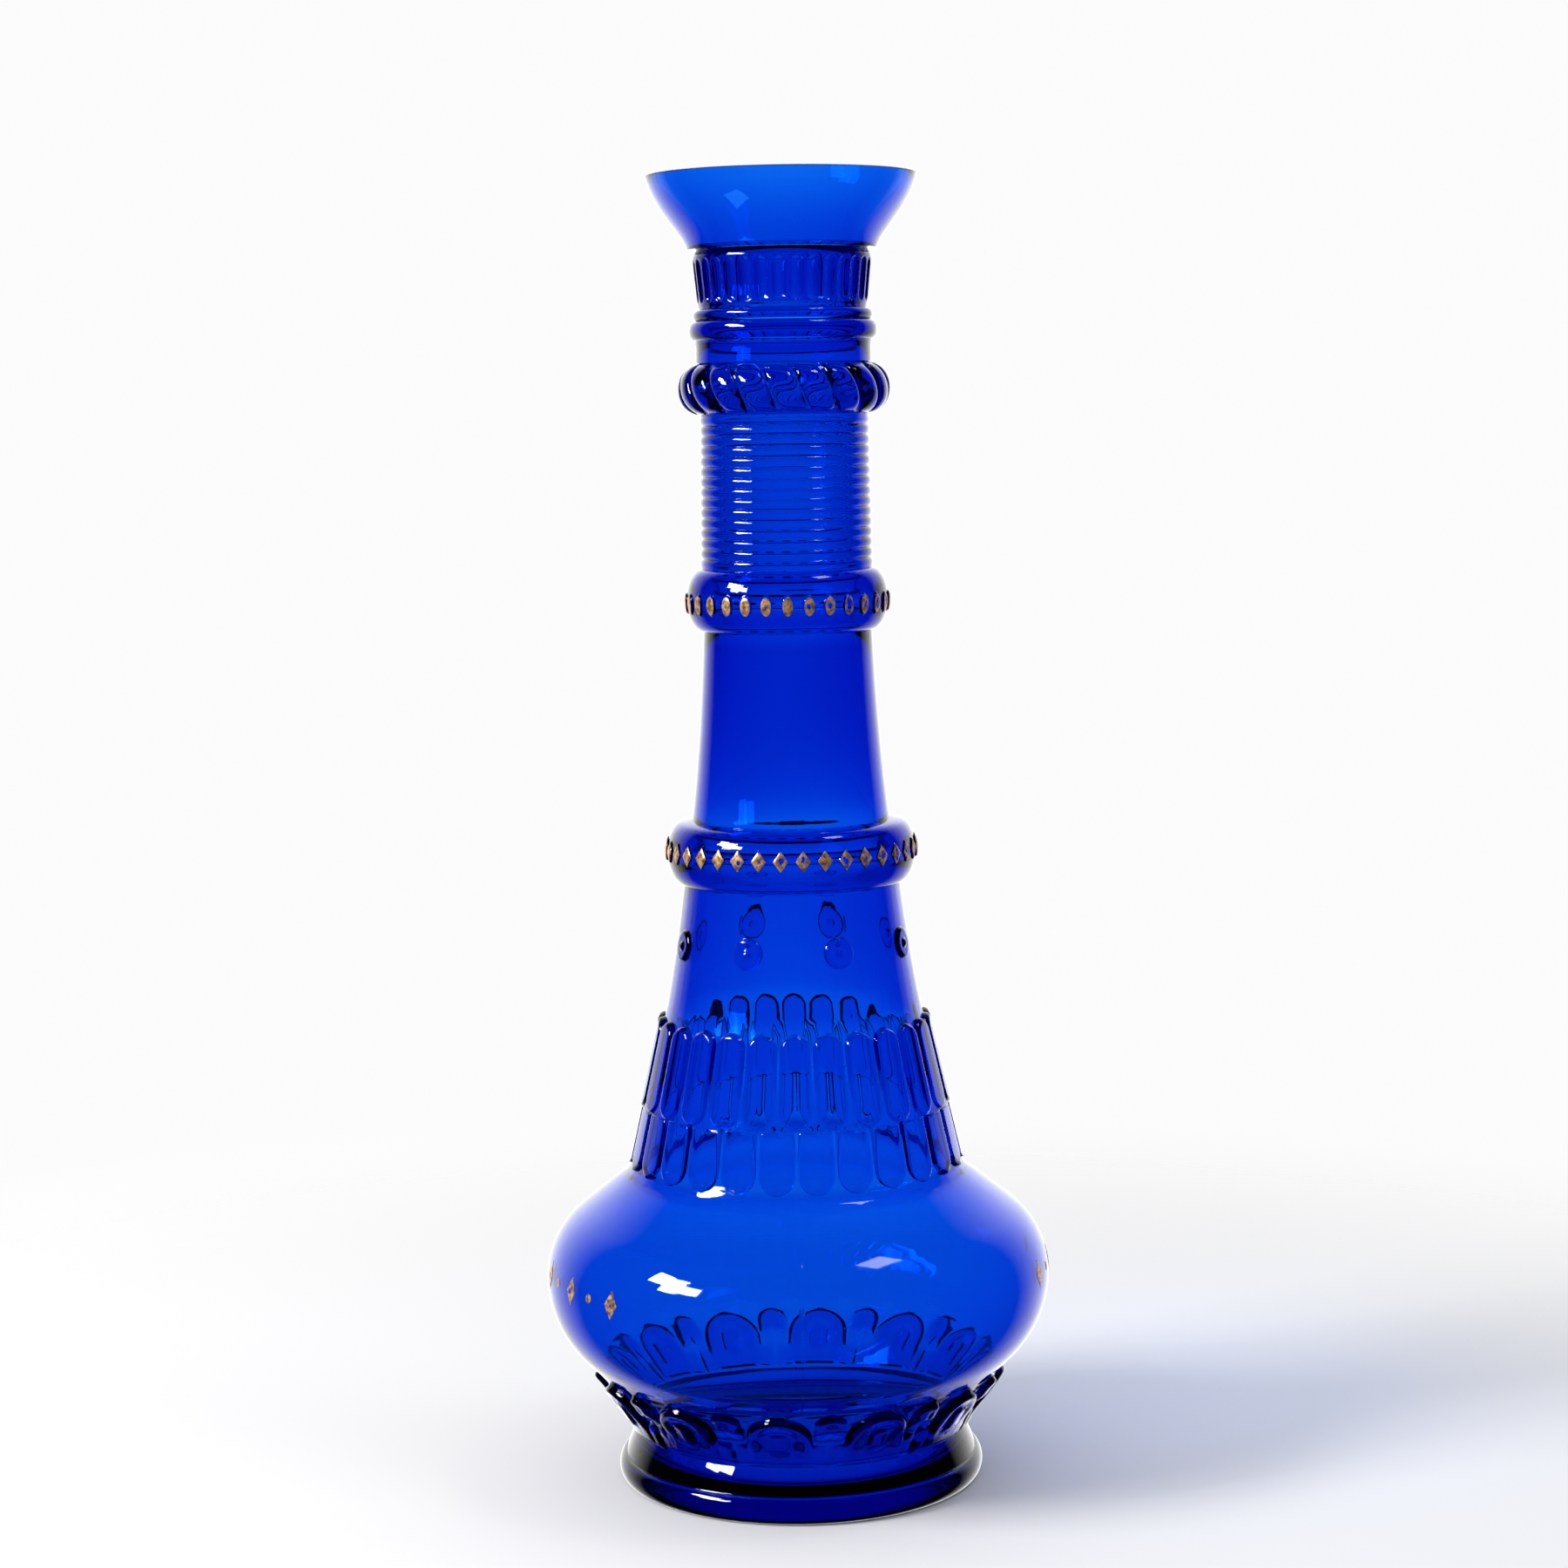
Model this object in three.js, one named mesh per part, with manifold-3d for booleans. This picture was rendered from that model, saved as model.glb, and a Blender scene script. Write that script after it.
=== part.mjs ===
// Antique cobalt glass bottle: a flared mouth cup, a fluted collar, a ribbed neck, two jewelled rings,
// a petalled skirt, a round bulb in a leaf calyx, and a low foot. One mould-blown vessel, divided where
// the mould's own creases divide it. Millimetres, +Z up, the axis on Z, the foot standing on z = 0.
// Angles are counted from the front, which is -Y, towards +X.

import * as THREE from 'three';
import { mergeVertices } from 'three/addons/utils/BufferGeometryUtils.js';
import Module from 'manifold-3d';

const wasm = await Module();
wasm.setup();

// ---- Driving dimensions -------------------------------------------------------------------------

const HEIGHT = 330;
const FOOT_RADIUS = 46.7;
const WAIST_RADIUS = 42;
const BULB_RADIUS = 64.1;
const SKIRT_HEM_RADIUS = 43.4;
const SKIRT_TOP_RADIUS = 32.3;
const CONE_TOP_RADIUS = 27.3;
const TOWER_BASE_RADIUS = 24.9;
const TOWER_TOP_RADIUS = 21.2;
const NECK_RADIUS = 20.9;
const COLLAR_RADIUS = 22.3;
const CUP_BASE_RADIUS = 23.6;
const RIM_RADIUS = 33.8;

const WALL = 2.7;
const NECK_WALL = 3.1;
const COLLAR_WALL = 4.3;
const RIM_WALL = 2.2;
const HOLLOW_RISE = 4.2;
const REST_RING_WIDTH = 4.5;

// Heights of the creases between the stages, from the table to the rim.
const Z = {
  table: 0,
  footStep: 6.8,
  waist: 13.5,
  leafTips: 31,
  belly: 52.8,
  skirtHem: 79.6,
  tierSeam: 97,
  skirtTop: 122,
  coneTop: 153.5,
  towerBase: 169.5,
  towerTop: 217,
  neckBase: 232.6,
  ropeBase: 270.8,
  ropeTop: 283.6,
  beadBase: 289.2,
  beadSeam: 293.9,
  collarBase: 296.8,
  cupBase: 311.6,
  rim: HEIGHT,
};

const PLAIN_COLUMNS = 36;
const RIB_COLUMNS = 24;
const RIB_COUNT = 15;
const RIB_DEPTH = 0.5;

const FLUTES = { count: 32, depth: 0.9, bottom: 298.6, top: 309.4, columnsEach: 2 };
const ROPE = { count: 20, depth: 2, lean: 22, columnsEach: 3 };
const OVALS = { count: 30, height: 0.5, middle: 224.1, halfLength: 2.7, columnsEach: 2 };
const LOZENGES = { count: 36, height: 0.5, middle: 162.2, halfLength: 2.7, columnsEach: 2 };
const ROUNDELS = { count: 8, radius: 3.9, height: 1, middle: 138.8 };
const PETALS = { count: 26, columnsEach: 3, upperHeight: 1.8, lowerHeight: 1, upperTop: 120.3, lowerBottom: 81.5 };
const LEAVES = { count: 12, height: 2.6, bottom: 14.2, top: 29.4, turnDegrees: -6.6, columnsEach: 6 };

// ---- Outlines: arrays of (radius, height) ---------------------------------------------------------

const at = (radius, height) => new THREE.Vector2(radius, height);

function line(...points) {
  return points;
}

function arc(centre, radiusAcross, radiusUp, fromDegrees, toDegrees, steps) {
  const from = THREE.MathUtils.degToRad(fromDegrees);
  const to = THREE.MathUtils.degToRad(toDegrees);
  const clockwise = toDegrees < fromDegrees;
  const ellipse = new THREE.EllipseCurve(centre.x, centre.y, radiusAcross, radiusUp, from, to, clockwise);
  return ellipse.getPoints(steps);
}

function bend(start, control, end, steps) {
  return new THREE.QuadraticBezierCurve(start, control, end).getPoints(steps);
}

// A round moulding that stands out from a neck of radius `root` between two heights.
function moulding(root, reach, bottom, top, steps) {
  const middle = (bottom + top) / 2;
  const points = arc(at(root, middle), reach, (top - bottom) / 2, -90, 90, steps);
  points[0].y = bottom;
  points[points.length - 1].y = top;
  return points;
}

// The inner wall is smooth glass, a wall's thickness inside the narrowest part of each stage. The tower
// and the collar are the thickest.
const BORE = {
  [Z.footStep]: 40.6,
  [Z.waist]: WAIST_RADIUS - WALL - 0.6,
  [Z.skirtHem]: SKIRT_HEM_RADIUS - WALL - 1.2,
  [Z.tierSeam]: 34.8,
  [Z.skirtTop]: SKIRT_TOP_RADIUS - WALL - 0.3,
  [Z.coneTop]: CONE_TOP_RADIUS - WALL - 0.5,
  [Z.towerBase]: TOWER_BASE_RADIUS - NECK_WALL - 0.6,
  [Z.towerTop]: TOWER_TOP_RADIUS - NECK_WALL - 0.5,
  [Z.neckBase]: TOWER_TOP_RADIUS - NECK_WALL - 0.5,
  [Z.ropeBase]: NECK_RADIUS - NECK_WALL,
  [Z.ropeTop]: NECK_RADIUS - NECK_WALL,
  [Z.beadBase]: NECK_RADIUS - NECK_WALL,
  [Z.beadSeam]: NECK_RADIUS - NECK_WALL,
  [Z.collarBase]: NECK_RADIUS - NECK_WALL,
  [Z.cupBase]: NECK_RADIUS - COLLAR_WALL,
};

function bore(bottom, top) {
  return line(at(BORE[top], top), at(BORE[bottom], bottom));
}

// ---- Geometry helpers -----------------------------------------------------------------------------

// The angle to the nearest of `count` evenly spaced features, as a share of half the space between them:
// 0 on a feature and 1 halfway between two. The first one stands at angle 0, or half a space on.
function fromFeature(degrees, count, halfSpaceOn = false) {
  const turns = (degrees * count) / 360 - (halfSpaceOn ? 0.5 : 0);
  return 2 * Math.abs(turns - Math.round(turns));
}

// Turns a closed outline about Z. The first `outerCount` points are the outside, and relief(angle, height)
// moves them outwards.
function turned(outline, columns, outerCount = 0, relief = null) {
  const geometry = new THREE.LatheGeometry(outline, columns);
  if (relief) {
    pushOut(geometry, outline.length, outerCount, relief);
  }
  geometry.rotateX(Math.PI / 2);
  return welded(geometry);
}

function pushOut(geometry, rows, outerCount, relief) {
  const position = geometry.attributes.position;
  for (let index = 0; index < position.count; index += 1) {
    const row = index % rows;
    const outside = row < outerCount || row === rows - 1;
    if (outside) {
      const x = position.getX(index);
      const z = position.getZ(index);
      const radius = Math.hypot(x, z);
      const degrees = THREE.MathUtils.radToDeg(Math.atan2(x, z));
      const scale = (radius + relief(degrees, position.getY(index))) / radius;
      position.setX(index, x * scale);
      position.setZ(index, z * scale);
    }
  }
}

function welded(geometry) {
  geometry.deleteAttribute('normal');
  geometry.deleteAttribute('uv');
  const merged = mergeVertices(geometry, 1e-4);
  merged.computeVertexNormals();
  return merged;
}

function ring(outer, inner, columns = PLAIN_COLUMNS, relief = null, turnDegrees = 0) {
  const geometry = turned([...outer, ...inner, outer[0].clone()], columns, outer.length, relief);
  return geometry.rotateZ(THREE.MathUtils.degToRad(turnDegrees));
}

function toManifold(geometry) {
  const vertProperties = new Float32Array(geometry.attributes.position.array);
  const triVerts = new Uint32Array(geometry.index.array);
  return new wasm.Manifold(new wasm.Mesh({ numProp: 3, vertProperties, triVerts }));
}

function fromManifold(solid) {
  const mesh = solid.getMesh();
  const geometry = new THREE.BufferGeometry();
  geometry.setAttribute('position', new THREE.BufferAttribute(new Float32Array(mesh.vertProperties), 3));
  geometry.setIndex(new THREE.BufferAttribute(new Uint32Array(mesh.triVerts), 1));
  geometry.computeVertexNormals();
  return geometry;
}

// ---- The stages, from the table upwards -------------------------------------------------------------

// The foot's edge is rolled. Under it a flat ring stands on the table, around a hollow with steep sides
// that leaves the floor about as thick as the wall.
const FOOT_EDGE = { across: 2.8, up: 3.6, endDegrees: 62 };
const restOuter = FOOT_RADIUS - FOOT_EDGE.across;
const restInner = restOuter - REST_RING_WIDTH;

function baseDisc() {
  const edge = arc(at(restOuter, FOOT_EDGE.up), FOOT_EDGE.across, FOOT_EDGE.up, -90, FOOT_EDGE.endDegrees, 6);
  edge[edge.length - 1].y = Z.footStep;
  const hollow = bend(at(0, HOLLOW_RISE), at(restInner * 0.97, HOLLOW_RISE), at(restInner, Z.table), 5);
  return turned([...hollow, ...edge, at(0, Z.footStep)], PLAIN_COLUMNS);
}

// The stem starts just inside the foot's edge and sweeps up to the waist.
function footStem() {
  const stepIn = 1.9;
  const start = at(FOOT_RADIUS - stepIn, Z.footStep);
  const sweep = at(WAIST_RADIUS + 0.9, Z.footStep + 2);
  const flare = bend(start, sweep, at(WAIST_RADIUS, Z.waist), 3);
  return ring(flare, bore(Z.footStep, Z.waist));
}

// The bulb's underside runs from the waist to an arc that reaches the belly.
const UNDER_ARC = { radius: 26.6, endDegrees: -45 };
const underCentre = at(BULB_RADIUS - UNDER_ARC.radius, Z.belly);
const underArcEnd = arc(underCentre, UNDER_ARC.radius, UNDER_ARC.radius, UNDER_ARC.endDegrees, 0, 1)[0];
const underCurve = new THREE.QuadraticBezierCurve(at(WAIST_RADIUS, Z.waist), at(46.7, 24.4), underArcEnd);
const leafTopShare = (Z.leafTips - Z.waist) / (underArcEnd.y - Z.waist);

function underside(fromShare, toShare, steps) {
  return Array.from({ length: steps + 1 }, (_, step) => {
    return underCurve.getPoint(fromShare + (toShare - fromShare) * (step / steps));
  });
}

function leafRelief(degrees, height) {
  const span = (height - LEAVES.bottom) / (LEAVES.top - LEAVES.bottom);
  if (span < 0 || span > 1) {
    return 0;
  }
  const fromMiddle = fromFeature(degrees, LEAVES.count);
  const fullness = Math.min(1, 4 * span);
  const betweenLeaves = fromMiddle > 0.75 ? 0.5 : 1;
  return LEAVES.height * fullness * betweenLeaves * (1 - 0.25 * fromMiddle);
}

function leafCalyx() {
  const outer = underside(0, leafTopShare, 6);
  outer[outer.length - 1].y = Z.leafTips;
  const top = outer[outer.length - 1];
  const inner = line(at(top.x - WALL - 0.6, Z.leafTips), at(44.2, 22.5), at(BORE[Z.waist], Z.waist));
  return ring(outer, inner, LEAVES.count * LEAVES.columnsEach, leafRelief, LEAVES.turnDegrees);
}

function bulbLower() {
  const start = underside(leafTopShare, 1, 1);
  start[0].y = Z.leafTips;
  const rise = arc(underCentre, UNDER_ARC.radius, UNDER_ARC.radius, UNDER_ARC.endDegrees, 0, 4);
  const outer = [...start, ...rise.slice(1)];
  const innerRadius = UNDER_ARC.radius - WALL;
  const innerRise = arc(underCentre, innerRadius, innerRadius, 0, -48, 3);
  const inner = [...innerRise, at(outer[0].x - WALL - 0.6, Z.leafTips)];
  return ring(outer, inner);
}

// Above the belly a tighter arc runs into a straight shoulder that ends under the skirt.
const SHOULDER_ARC = { radius: 21.4, endDegrees: 52 };

function bulbUpper() {
  const centre = at(BULB_RADIUS - SHOULDER_ARC.radius, Z.belly);
  const round = arc(centre, SHOULDER_ARC.radius, SHOULDER_ARC.radius, 0, SHOULDER_ARC.endDegrees, 4);
  const outer = [...round, at(SKIRT_HEM_RADIUS, Z.skirtHem)];
  const innerRadius = SHOULDER_ARC.radius - WALL;
  const innerRound = arc(centre, innerRadius, innerRadius, SHOULDER_ARC.endDegrees, 0, 3);
  const inner = [at(BORE[Z.skirtHem], Z.skirtHem), ...innerRound];
  return ring(outer, inner);
}

// The skirt's own wall is a straight cone with a small flare at the hem.
function skirtRadius(height) {
  const flareTop = 83;
  const flareTopRadius = 41.3;
  if (height < flareTop) {
    const share = (height - Z.skirtHem) / (flareTop - Z.skirtHem);
    return THREE.MathUtils.lerp(SKIRT_HEM_RADIUS, flareTopRadius, share);
  }
  const share = (height - flareTop) / (Z.skirtTop - flareTop);
  return THREE.MathUtils.lerp(flareTopRadius, SKIRT_TOP_RADIUS, share);
}

// A petal stands out evenly and rounds off at its ends. Between two petals the wall shows.
function petalRelief(degrees, height, petal) {
  const onWall = fromFeature(degrees, PETALS.count, true) > 0.9;
  if (onWall || height < petal.bottom || height > petal.top) {
    return 0;
  }
  const nearEnd = Math.min(height - petal.bottom, petal.top - height) / petal.endRound;
  return petal.height * THREE.MathUtils.clamp(nearEnd, 0.4, 1);
}

function skirtRing(heights, petal, turnDegrees) {
  const outer = heights.map((height) => at(skirtRadius(height), height));
  const inner = bore(heights[0], heights[heights.length - 1]);
  const relief = (degrees, height) => petalRelief(degrees, height, petal);
  return ring(outer, inner, PETALS.count * PETALS.columnsEach, relief, turnDegrees);
}

// The lower petals run up behind the upper ones, and stand in the gaps between them.
function lowerPetalSkirt() {
  const petal = { height: PETALS.lowerHeight, bottom: PETALS.lowerBottom, top: Z.skirtTop, endRound: 2.4 };
  const heights = [Z.skirtHem, petal.bottom - 0.1, petal.bottom, petal.bottom + petal.endRound, Z.tierSeam];
  return skirtRing(heights, petal, 0);
}

function upperPetalSkirt() {
  const petal = { height: PETALS.upperHeight, bottom: Z.tierSeam, top: PETALS.upperTop, endRound: 2.4 };
  const lowerRound = petal.bottom + petal.endRound;
  const upperRound = petal.top - petal.endRound;
  const heights = [Z.tierSeam, lowerRound, upperRound, petal.top, petal.top + 0.1, Z.skirtTop];
  return skirtRing(heights, petal, 180 / PETALS.count);
}

function coneWall() {
  const middle = (Z.skirtTop + Z.coneTop) / 2;
  return new THREE.QuadraticBezierCurve(at(SKIRT_TOP_RADIUS, Z.skirtTop), at(29.2, middle), at(CONE_TOP_RADIUS, Z.coneTop));
}

// A raised disc with a rounded edge and a small boss in the middle, sunk into the cone's wall.
function roundel() {
  const sink = 1.2;
  const boss = 1;
  const outline = [
    at(0, -sink),
    at(ROUNDELS.radius, -sink),
    at(ROUNDELS.radius, ROUNDELS.height * 0.5),
    at(ROUNDELS.radius - 0.7, ROUNDELS.height),
    at(boss, ROUNDELS.height * 0.8),
    at(0, ROUNDELS.height * 1.3),
  ];
  return welded(new THREE.LatheGeometry(outline, 12));
}

function roundelCone() {
  const wall = coneWall();
  let solid = toManifold(ring(wall.getPoints(3), bore(Z.skirtTop, Z.coneTop), PLAIN_COLUMNS));
  const share = (ROUNDELS.middle - Z.skirtTop) / (Z.coneTop - Z.skirtTop);
  const seat = wall.getPoint(share);
  const slope = wall.getTangent(share);
  const lean = Math.atan2(-slope.x, slope.y);
  for (let index = 0; index < ROUNDELS.count; index += 1) {
    const turn = (index + 0.5) * (2 * Math.PI / ROUNDELS.count);
    const disc = roundel();
    disc.rotateX(Math.PI - lean);
    disc.translate(0, -seat.x, seat.y);
    disc.rotateZ(turn);
    solid = solid.add(toManifold(disc));
  }
  return fromManifold(solid);
}

function lozengeRelief(degrees, height) {
  const across = fromFeature(degrees, LOZENGES.count, true);
  const along = Math.abs(height - LOZENGES.middle) / LOZENGES.halfLength;
  return LOZENGES.height * Math.max(0, 1 - across - along);
}

// A half-round belt around the cone's top. Its upper edge turns in to the foot of the tower.
function lozengeRing() {
  const belt = { reach: 4.1, middle: Z.coneTop + 7.7, halfWidth: 7.8 };
  const bulge = (height) => {
    const offset = (height - belt.middle) / belt.halfWidth;
    return CONE_TOP_RADIUS + belt.reach * Math.sqrt(Math.max(0, 1 - offset * offset));
  };
  const { middle, halfLength } = LOZENGES;
  const lowerEdge = Z.coneTop + 1.5;
  const upperEdge = Z.towerBase - 1.3;
  const heights = [lowerEdge, middle - halfLength, middle, middle + halfLength, upperEdge];
  const outer = [
    at(CONE_TOP_RADIUS, Z.coneTop),
    ...heights.map((height) => at(bulge(height), height)),
    at(TOWER_BASE_RADIUS, Z.towerBase),
  ];
  return ring(outer, bore(Z.coneTop, Z.towerBase), LOZENGES.count * LOZENGES.columnsEach, lozengeRelief);
}

function tower() {
  const wall = bend(at(TOWER_BASE_RADIUS, Z.towerBase), at(22.3, 190), at(TOWER_TOP_RADIUS, Z.towerTop), 4);
  return ring(wall, bore(Z.towerBase, Z.towerTop));
}

function ovalRelief(degrees, height) {
  const across = fromFeature(degrees, OVALS.count);
  const along = (height - OVALS.middle) / OVALS.halfLength;
  return OVALS.height * Math.max(0, 1 - across * across - along * along);
}

function ovalRing() {
  const outer = moulding(TOWER_TOP_RADIUS, 4.1, Z.towerTop, Z.neckBase, 7);
  return ring(outer, bore(Z.towerTop, Z.neckBase), OVALS.count * OVALS.columnsEach, ovalRelief);
}

function ribbedNeck() {
  const steps = RIB_COUNT * 2;
  const outer = Array.from({ length: steps + 1 }, (_, step) => {
    const share = step / steps;
    const groove = step % 2 === 0 ? RIB_DEPTH : 0;
    const radius = THREE.MathUtils.lerp(TOWER_TOP_RADIUS + 0.45, NECK_RADIUS + 0.2, share);
    return at(radius - groove, THREE.MathUtils.lerp(Z.neckBase, Z.ropeBase, share));
  });
  outer[steps].y = Z.ropeBase;
  return ring(outer, bore(Z.neckBase, Z.ropeBase), RIB_COLUMNS);
}

// Lobes that lean like the strands of a rope.
function ropeRelief(degrees, height) {
  const share = (height - Z.ropeBase) / (Z.ropeTop - Z.ropeBase) - 0.5;
  const across = fromFeature(degrees + share * ROPE.lean, ROPE.count);
  const along = 2 * share;
  return ROPE.depth * Math.max(0, 1 - across * across) * (1 - along * along);
}

function ropeRing() {
  const outer = moulding(NECK_RADIUS, 3.8, Z.ropeBase, Z.ropeTop, 6);
  return ring(outer, bore(Z.ropeBase, Z.ropeTop), ROPE.count * ROPE.columnsEach, ropeRelief);
}

function plainNeck() {
  const wall = NECK_RADIUS + 1;
  const flare = { height: 1.2, reach: 0.3 };
  const outer = line(
    at(wall, Z.ropeTop),
    at(wall, Z.beadBase - flare.height),
    at(wall + flare.reach, Z.beadBase),
  );
  return ring(outer, bore(Z.ropeTop, Z.beadBase));
}

function largeBead() {
  const outer = moulding(NECK_RADIUS + 0.9, 1.7, Z.beadBase, Z.beadSeam, 5);
  return ring(outer, bore(Z.beadBase, Z.beadSeam));
}

function smallBead() {
  const outer = moulding(NECK_RADIUS + 0.4, 1.1, Z.beadSeam, Z.collarBase, 4);
  return ring(outer, bore(Z.beadSeam, Z.collarBase));
}

function fluteRelief(degrees, height) {
  if (height < FLUTES.bottom || height > FLUTES.top) {
    return 0;
  }
  return -FLUTES.depth * (1 - fromFeature(degrees, FLUTES.count));
}

function flutedCollar() {
  const wallBottom = NECK_RADIUS + 0.3;
  const shoulder = 1;
  const outer = line(
    at(wallBottom - 0.4, Z.collarBase),
    at(wallBottom, FLUTES.bottom - 0.5),
    at(wallBottom, FLUTES.bottom),
    at(COLLAR_RADIUS, FLUTES.top),
    at(COLLAR_RADIUS, FLUTES.top + 0.5),
    at(COLLAR_RADIUS - shoulder, Z.cupBase),
  );
  return ring(outer, bore(Z.collarBase, Z.cupBase), FLUTES.count * FLUTES.columnsEach, fluteRelief);
}

// The cup flares in an S and ends in a thin ground rim.
function mouthCup() {
  const base = at(CUP_BASE_RADIUS, Z.cupBase);
  const rim = at(RIM_RADIUS, Z.rim);
  const outer = new THREE.CubicBezierCurve(base, at(24.4, 315.6), at(31.6, 321), rim).getPoints(6);
  const innerRim = at(RIM_RADIUS - RIM_WALL, Z.rim);
  const throat = at(BORE[Z.cupBase], Z.cupBase);
  const inner = new THREE.CubicBezierCurve(innerRim, at(29.6, 322), at(21.6, 318.5), throat).getPoints(6);
  return ring(outer, inner);
}

// ---- The assembly -----------------------------------------------------------------------------------

const COBALT = 0x0a3cc8;
const COBALT_DEEP = 0x062a9c;
const COBALT_LIGHT = 0x1470e0;

const STAGES = [
  ['base_disc', baseDisc, COBALT_DEEP],
  ['foot_stem', footStem, COBALT_DEEP],
  ['leaf_calyx', leafCalyx, COBALT_DEEP],
  ['bulb_lower', bulbLower, COBALT],
  ['bulb_upper', bulbUpper, COBALT],
  ['lower_petal_skirt', lowerPetalSkirt, COBALT],
  ['upper_petal_skirt', upperPetalSkirt, COBALT],
  ['roundel_cone', roundelCone, COBALT],
  ['lozenge_ring', lozengeRing, COBALT],
  ['tower', tower, COBALT],
  ['oval_ring', ovalRing, COBALT],
  ['ribbed_neck', ribbedNeck, COBALT],
  ['rope_ring', ropeRing, COBALT],
  ['plain_neck', plainNeck, COBALT],
  ['large_bead', largeBead, COBALT],
  ['small_bead', smallBead, COBALT],
  ['fluted_collar', flutedCollar, COBALT],
  ['mouth_cup', mouthCup, COBALT_LIGHT],
];

function glass(color) {
  return new THREE.MeshStandardMaterial({ color, roughness: 0.06, metalness: 0 });
}

const bottle = new THREE.Group();
bottle.name = 'cobalt_bottle';
for (const [name, makeGeometry, color] of STAGES) {
  const mesh = new THREE.Mesh(makeGeometry(), glass(color));
  mesh.name = name;
  bottle.add(mesh);
}

export default bottle;
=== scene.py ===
"""Looks of the antique cobalt glass bottle: one vessel of clear blue glass, with worn gilding on its rings.

Lengths are in millimetres until a mesh is made. Angles are in degrees, from the front (-Y) towards +X.
The outside of the glass is built in rings of points from the foot to the rim, and then down the inside.
"""
import math
import random

import bpy
import numpy as np
from mathutils import Matrix, Vector


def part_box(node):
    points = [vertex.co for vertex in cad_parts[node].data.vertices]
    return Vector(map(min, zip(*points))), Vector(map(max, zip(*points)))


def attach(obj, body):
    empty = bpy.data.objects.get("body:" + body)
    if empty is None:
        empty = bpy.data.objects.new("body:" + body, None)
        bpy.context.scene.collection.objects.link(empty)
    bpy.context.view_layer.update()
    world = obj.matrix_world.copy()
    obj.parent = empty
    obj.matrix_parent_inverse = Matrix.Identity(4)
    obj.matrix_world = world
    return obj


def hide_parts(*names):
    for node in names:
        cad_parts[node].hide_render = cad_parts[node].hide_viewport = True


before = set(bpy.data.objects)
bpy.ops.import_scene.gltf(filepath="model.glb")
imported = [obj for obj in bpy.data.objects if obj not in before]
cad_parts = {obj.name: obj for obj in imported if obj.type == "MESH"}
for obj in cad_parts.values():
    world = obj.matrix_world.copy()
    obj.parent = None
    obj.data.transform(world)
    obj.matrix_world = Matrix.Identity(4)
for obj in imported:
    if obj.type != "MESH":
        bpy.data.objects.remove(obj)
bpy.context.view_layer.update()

MM = 0.001


# ---- Levels and radii, from the CAD stages ----------------------------------------------------------

def top_of(node):
    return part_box(node)[1].z / MM


def reach_of(node):
    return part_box(node)[1].x / MM


STEP_Z = top_of("base_disc")
WAIST_Z = top_of("foot_stem")
LEAF_TIPS_Z = top_of("leaf_calyx")
BELLY_Z = top_of("bulb_lower")
HEM_Z = top_of("bulb_upper")
TIER_Z = top_of("lower_petal_skirt")
SKIRT_TOP_Z = top_of("upper_petal_skirt")
CONE_TOP_Z = top_of("roundel_cone")
TOWER_BASE_Z = top_of("lozenge_ring")
TOWER_TOP_Z = top_of("tower")
NECK_BASE_Z = top_of("oval_ring")
ROPE_BASE_Z = top_of("ribbed_neck")
ROPE_TOP_Z = top_of("rope_ring")
BEAD_BASE_Z = top_of("plain_neck")
BEAD_SEAM_Z = top_of("large_bead")
COLLAR_BASE_Z = top_of("small_bead")
CUP_BASE_Z = top_of("fluted_collar")
RIM_Z = top_of("mouth_cup")

FOOT_R = reach_of("base_disc")
STEP_R = reach_of("foot_stem")
WAIST_R = 0.9 * FOOT_R
BELLY_R = reach_of("bulb_upper")
HEM_R = reach_of("lower_petal_skirt")
SKIRT_TOP_R = reach_of("roundel_cone")
TOWER_BASE_R = reach_of("tower")
CONE_TOP_R = TOWER_BASE_R + 2.4
TOWER_TOP_R = reach_of("ribbed_neck") - 0.45
NECK_R = reach_of("plain_neck") - 1.3
COLLAR_R = reach_of("fluted_collar")
RIM_R = reach_of("mouth_cup")

CONE_MIDDLE_Z = (SKIRT_TOP_Z + CONE_TOP_Z) / 2
TOWER_BEND_Z = TOWER_BASE_Z + 20.5

NECK_WALL = 2.9
TOWER_WALL = 3.7
COLLAR_WALL = 4.0
CUP_WALL = 2.8
RIM_WALL = 1.7
BULB_WALL = 2.2
STEM_WALL = 3.8
RING_WALL = 2.8
CONE_WALL = 3.0

FOOT_ROLL_REACH = 2.8
FOOT_ROLL_HALF_HEIGHT = 3.6
REST_OUTER_R = FOOT_R - FOOT_ROLL_REACH
REST_INNER_R = REST_OUTER_R - 4.5
FLOOR_RISE = 4.2
FLOOR_TOP = STEP_Z
FLOOR_LAST_R = 15

SEAM_DEGREES = (0.65, 180.65)
SEAM_HEIGHT = 0.1
SEAM_HALF_WIDTH = 0.2


# ---- Outlines, as rows of (radius, height) ----------------------------------------------------------

def arc(centre, across, up, start, end, steps):
    turn = np.radians(np.linspace(start, end, steps + 1))
    return np.column_stack((centre[0] + across * np.cos(turn), centre[1] + up * np.sin(turn)))


def bend(points, steps):
    """A Bezier curve through its first and last points, drawn by the ones between."""
    points = np.array(points, float)
    share = np.linspace(0, 1, steps + 1)[:, None]
    order = len(points) - 1
    weights = [math.comb(order, k) * share**k * (1 - share) ** (order - k) for k in range(order + 1)]
    return sum(weight * point for weight, point in zip(weights, points))


def moulding(root, reach, bottom, top, steps=40):
    middle = (bottom + top) / 2
    return arc((root, middle), reach, (top - bottom) / 2, -90, 90, steps)


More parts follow.
